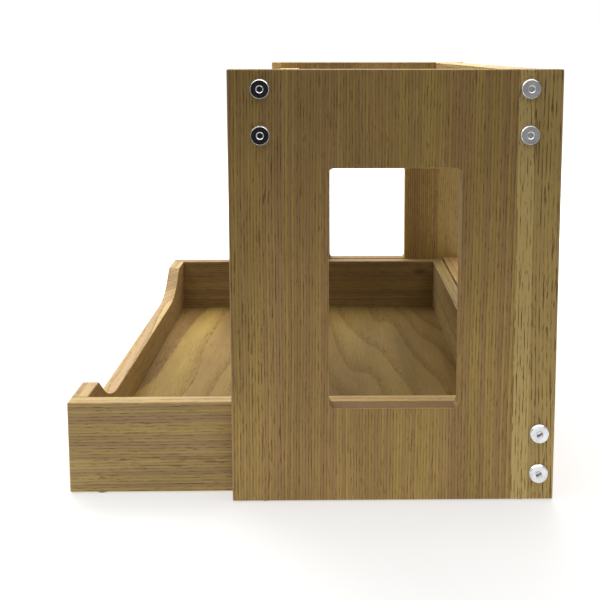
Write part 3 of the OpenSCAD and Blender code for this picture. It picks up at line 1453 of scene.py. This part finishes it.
@dataclass
class ScoopedFront:
    """The tray's front board, whose upper edge dips in a long scoop."""

    shoulder: float = 42 * MM
    depth: float = 35.5 * MM
    slope: float = math.radians(37)
    sweep: float = 95 * MM
    brow: float = 9 * MM
    ease: float = 1.1 * MM
    groove_depth: float = 6 * MM
    fit: float = 0.3 * MM
    dowel: float = 4.05 * MM
    dowel_depth: float = 22 * MM
    dowel_heights: Span = (31 * MM, 63 * MM)
    sweep_steps: int = 14
    brow_steps: int = 4
    overrun: float = 2 * MM
    level: float = 0.01

    def build(self) -> bpy.types.Object:
        """Builds the board with its groove and dowel holes.

        Returns:
            The board's object.
        """
        low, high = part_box("tray_front")
        shape = self.outline(low, high)
        board = finished(shape, "tray_scooped_front")
        drilled(board, self.joinery(low, high))
        how = {"pith": (-150.0, 50.0), "ring": 3.4, "waver": 15.0, "seed": 52.0}
        finish = sawn("tray_front", Lie.CROSS_BOARD, PaleOak, **how)
        dress(board, finish, "oak_tray", "tray", "tray_front")
        return board

    def outline(self, low: Vector, high: Vector) -> bmesh.types.BMesh:
        """The board with its scoop, brows and rounded arrises.

        Args:
            low: the board's lowest corner.
            high: its highest corner.

        Returns:
            A new closed mesh.
        """
        top = high.y - self.shoulder
        foot = top - self.depth / math.tan(self.slope)
        floor = high.z - self.depth
        half = [(high.y, low.z), (high.y, high.z), (top, high.z), (foot, floor)]
        points = half + [(-y, z) for y, z in reversed(half)]
        shape = bmesh.new()
        shape.faces.new([shape.verts.new((low.x, y, z)) for y, z in points])
        self.round_corners(shape, foot, self.sweep, self.sweep_steps)
        self.round_corners(shape, top, self.brow, self.brow_steps)
        made = bmesh.ops.extrude_face_region(shape, geom=shape.faces[:])["geom"]
        moved = [item for item in made if isinstance(item, bmesh.types.BMVert)]
        bmesh.ops.translate(shape, vec=(high.x - low.x, 0, 0), verts=moved)
        bmesh.ops.recalc_face_normals(shape, faces=shape.faces)
        for face in shape.faces:
            face.smooth = min(abs(face.normal.y), abs(face.normal.z)) > self.level
        arrises = [
            edge
            for edge in square_edges(shape)
            if abs(edge.verts[0].co.x - edge.verts[1].co.x) < self.ease
            and min(abs(v.co.y) for v in edge.verts) < high.y - self.ease
        ]
        soft_bevel(shape, arrises, self.ease, EASE_STEPS)
        return shape

    def round_corners(
        self, shape: bmesh.types.BMesh, y: float, radius: float, segments: int
    ) -> None:
        """Rounds the outline's two corners that are y from the middle.

        Args:
            shape: the flat outline.
            y: the corners' distance from the middle of the board.
            radius: the radius of the rounding.
            segments: how many sides it has.
        """
        corners = [vert for vert in shape.verts if abs(abs(vert.co.y) - y) < NEAR]
        bmesh.ops.bevel(
            shape,
            geom=corners,
            offset=radius * math.tan(self.slope / 2),
            offset_type="OFFSET",
            segments=segments,
            profile=0.5,
            affect="VERTICES",
            material=-1,
        )

    def joinery(self, low: Vector, high: Vector) -> bmesh.types.BMesh:
        """The groove for the base and the dowel holes in both ends.

        Args:
            low: the board's lowest corner.
            high: its highest corner.

        Returns:
            A mesh of closed solids to cut away.
        """
        base_low, base_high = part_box("tray_base")
        reach = self.overrun
        start = Vector((high.x - self.groove_depth, low.y - reach, base_low.z))
        end = Vector((high.x + reach, high.y + reach, base_high.z + self.fit))
        cutter = block(start, end)
        x = (low.x + high.x) / 2
        for side in Side:
            for rise in self.dowel_heights:
                inner = Vector((x, side.value * (high.y - self.dowel_depth), rise))
                outer = Vector((x, side.value * (high.y + reach), rise))
                add_rod(cutter, inner, outer, self.dowel)
        return cutter


@dataclass
class Tray:
    """The sliding tray: four boards, a veneered base, dowels and pads."""

    def build(self) -> None:
        """Builds the tray's pieces in order."""
        ScoopedFront().build()
        self.finish_boards()
        for end in ("front", "back"):
            refinish(f"tray_{end}_dowels", BEECH)
        Pads("tray").build()

    def finish_boards(self) -> None:
        """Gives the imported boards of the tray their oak."""
        right = sawn(
            "tray_right_side",
            Lie.LEVEL_SIDE,
            PaleOak,
            staves=(Stave(33, 0.56, 0.5), Stave(55, 0.5, 0.25)),
            pith=(240.0, 55.0),
            ring=3.0,
            waver=12.0,
            seed=61.0,
        )
        left = sawn(
            "tray_left_side",
            Lie.LEVEL_SIDE,
            PaleOak,
            pith=(-190.0, 65.0),
            waver=12.0,
            seed=73.0,
            # Painted shade: this side's inner face lies in the shaded inside of the box.
            shade=0.73,
            knot=(27.0, 176.0),
        )
        back = sawn(
            "tray_back",
            Lie.CROSS_BOARD,
            PaleOak,
            pith=(170.0, 60.0),
            ring=3.4,
            seed=82.0,
            # Painted shade: the back's inner face lies in the shaded inside of the box.
            shade=0.74,
        )
        base = sawn(
            "tray_base",
            Lie.FLAT_ACROSS,
            # Painted shade: the dark second stave lies where the base runs under the frame, in
            # the box's shade.
            staves=(Stave(172, 0.5, 0.1), Stave(232, 0.1, 0.1)),
            pith=(-20.0, -62.0),
            ring=31.0,
            taper=0.13,
            waver=150.0,
            seed=95.0,
            late=(0.320, 0.212, 0.072),
            early=(0.215, 0.133, 0.041),
            figure=0.38,
            cloud_swing=1.1,
            # Painted shade for the darker inside of the box: the shade factor dims the whole
            # base.
            shade=0.86,
            pores=0.9,
            shine=0.03,
        )
        for oak in (right, left, back, base):
            refinish(oak.name.removeprefix("oak_"), oak)


# ---------------------------------------------------------------- stage


@dataclass(frozen=True)
class SoftBox:
    """A square soft box, which starts facing down and leans about X and Y, in degrees."""

    name: str
    place: Triple
    lean: Span
    size: float
    power: float
    tint: Colour = (1.0, 0.985, 0.955)

    def hang(self) -> None:
        """Hangs the lamp, which the camera doesn't see."""
        lamp = bpy.data.lights.new(self.name, "AREA")
        lamp.shape = "SQUARE"
        lamp.size = self.size
        lamp.energy = self.power
        lamp.color = self.tint
        holder = bpy.data.objects.new(self.name, lamp)
        holder.location = self.place
        holder.rotation_euler = (math.radians(self.lean[0]), math.radians(self.lean[1]), 0.0)
        holder.visible_camera = False
        bpy.context.scene.collection.objects.link(holder)


@dataclass(frozen=True)
class MirrorCard:
    """An upright card that the bright metal reflects: where it is from the eye."""

    name: str
    offset: Triple
    shade: float
    half: float = 0.27


@dataclass
class Studio:
    """A white table under a soft overhead light, and the camera."""

    table_reach: float = 0.40
    table_glow: float = 0.56
    floor_reach: float = 40.0
    floor_drop: float = 0.5 * MM
    floor_shade: float = 0.5
    matt_rough: float = 0.9
    matt_shine: float = 0.1
    dim_room: Colour = (0.055, 0.055, 0.057)
    mirrored_room: Colour = (0.60, 0.60, 0.61)
    white: Colour = (1.0, 1.0, 1.0)
    lamps: tuple[SoftBox, ...] = (
        SoftBox("behind", (-0.45, 1.35, 1.75), (-41.0, 0.0), 2.4, 62.0),
        SoftBox("overhead", (-0.3, 0.6, 1.7), (0.0, 0.0), 4.0, 80.0),
        SoftBox("front", (-1.7, 0.1, 0.9), (0.0, -70.0), 1.2, 2.5),
    )
    mirrored: tuple[MirrorCard, ...] = (
        MirrorCard("dark_card", (-0.16, -0.05, -0.1), 0.012),
        MirrorCard("grey_card", (0.42, -0.05, -0.1), 0.3),
    )
    flag_height: float = 0.36
    flag_half: float = 0.26
    flag_narrow: float = 0.38
    flag_shade: float = 0.012
    eye: Triple = (0.021, -1.165, 0.414)
    pitch: float = math.radians(7.0)
    yaw: float = math.radians(-0.84)
    lens: float = 56.7
    sensor: float = 36.0
    shift: Span = (-0.075, -0.218)
    clip: Span = (0.05, 100.0)

    def build(self) -> None:
        """Sets up the floor, the world, the lights, the cards and the camera."""
        self.floor()
        self.world()
        for lamp in self.lamps:
            lamp.hang()
        self.cards()
        self.camera()

    def matt(self, name: str, shade: float, glow: float) -> bpy.types.Material:
        """A plain matt grey, for the floor and the cards.

        Args:
            name: the material's name.
            shade: how pale it is.
            glow: how brightly it is lit from within, like a light table.

        Returns:
            The material.
        """
        made = bpy.data.materials.new(name)
        made.use_nodes = True
        shader = made.node_tree.nodes["Principled BSDF"]
        shader.inputs["Base Color"].default_value = (shade, shade, shade, 1.0)
        shader.inputs["Roughness"].default_value = self.matt_rough
        shader.inputs["Specular IOR Level"].default_value = self.matt_shine
        shader.inputs["Emission Color"].default_value = (*self.white, 1.0)
        shader.inputs["Emission Strength"].default_value = glow
        return made

    def floor(self) -> None:
        """The table near the box, which lights it from below, and the floor beyond."""
        low, high = cad_box
        rim = Vector((self.table_reach, self.table_reach, 0.0))
        near_low, near_high = low - rim, high + rim
        table = bmesh.new()
        bmesh.ops.create_grid(table, x_segments=1, y_segments=1, size=1.0)
        half = (near_high - near_low) / 2
        centre = (near_low + near_high) / 2
        bmesh.ops.scale(table, vec=(half.x, half.y, 1.0), verts=table.verts)
        bmesh.ops.translate(table, vec=(centre.x, centre.y, 0.0), verts=table.verts)
        top = finished(table, "table_top")
        beyond = bmesh.new()
        bmesh.ops.create_grid(beyond, x_segments=1, y_segments=1, size=self.floor_reach)
        bmesh.ops.translate(beyond, vec=(0, 0, -self.floor_drop), verts=beyond.verts)
        far = finished(beyond, "floor_beyond")
        far.visible_diffuse = False
        far.visible_glossy = False
        top.data.materials.append(self.matt("pale_table", self.floor_shade, self.table_glow))
        far.data.materials.append(self.matt("lit_floor", self.floor_shade, 1.0))

    def world(self) -> None:
        """A white background, pale walls for the metal to mirror, and a dim room besides."""
        world = bpy.data.worlds.new("studio")
        world.use_nodes = True
        bpy.context.scene.world = world
        sheet = Sheet(world.node_tree)
        ray = sheet.node("LightPath").outputs
        room = sheet.mix(ray["Is Glossy Ray"], self.dim_room, self.mirrored_room)
        colour = sheet.mix(ray["Is Camera Ray"], room, self.white)
        sky = sheet.node("Background", {"Color": colour, "Strength": 1.0})
        sheet.node("OutputWorld", {"Surface": sky.outputs[0]})

    def cards(self) -> None:
        """Two cards that the bright metal reflects, and a flag in the chamber's top.

        Only the flag casts a shadow, and it also stops the light that bounces.
        """
        upright = Matrix.Rotation(math.radians(90), 4, "X")
        for card in self.mirrored:
            spot = [start + offset for start, offset in zip(self.eye, card.offset)]
            place = Matrix.Translation(spot) @ upright
            self.card(card.name, card.half, place, card.shade).visible_shadow = False
        low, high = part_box("right_side_panel")
        above = Matrix.Translation(((low.x + high.x) / 2, 0.0, self.flag_height))
        narrow = above @ Matrix.Diagonal((self.flag_narrow, 1, 1, 1))
        flag = self.card("shading_flag", self.flag_half, narrow, self.flag_shade)
        flag.visible_glossy = False
        flag.visible_diffuse = True

    def card(self, name: str, half: float, place: Matrix, shade: float) -> bpy.types.Object:
        """A card that the camera doesn't see and that bounced light doesn't meet.

        Args:
            name: its name.
            half: half the length of its sides.
            place: where it stands.
            shade: how pale it is.

        Returns:
            The card, which still casts shadows and shows in bright metal.
        """
        sheet = bmesh.new()
        bmesh.ops.create_grid(sheet, x_segments=1, y_segments=1, size=half)
        bmesh.ops.transform(sheet, matrix=place, verts=sheet.verts)
        piece = finished(sheet, name)
        piece.data.materials.append(self.matt(name, shade, 0.0))
        piece.visible_camera = False
        piece.visible_diffuse = False
        return piece

    def camera(self) -> None:
        """The camera, looking along the box's width from the right side."""
        data = bpy.data.cameras.new("camera")
        data.lens = self.lens
        data.sensor_width = self.sensor
        data.shift_x, data.shift_y = self.shift
        data.dof.use_dof = False
        data.clip_start, data.clip_end = self.clip
        eye = bpy.data.objects.new("camera", data)
        turn = Matrix.Rotation(self.yaw, 4, "Z")
        aim = Matrix.Rotation(math.pi / 2 - self.pitch, 4, "X")
        eye.matrix_world = Matrix.Translation(self.eye) @ turn @ aim
        bpy.context.scene.collection.objects.link(eye)
        bpy.context.scene.camera = eye


def main() -> None:
    """Builds the stage and both sub-assemblies."""
    logging.basicConfig(level=logging.INFO, format="%(name)s: %(message)s")
    scene = bpy.context.scene
    scene.view_settings.view_transform = "Standard"
    Studio().build()
    Frame().build()
    Tray().build()


if __name__ == "__main__":
    main()
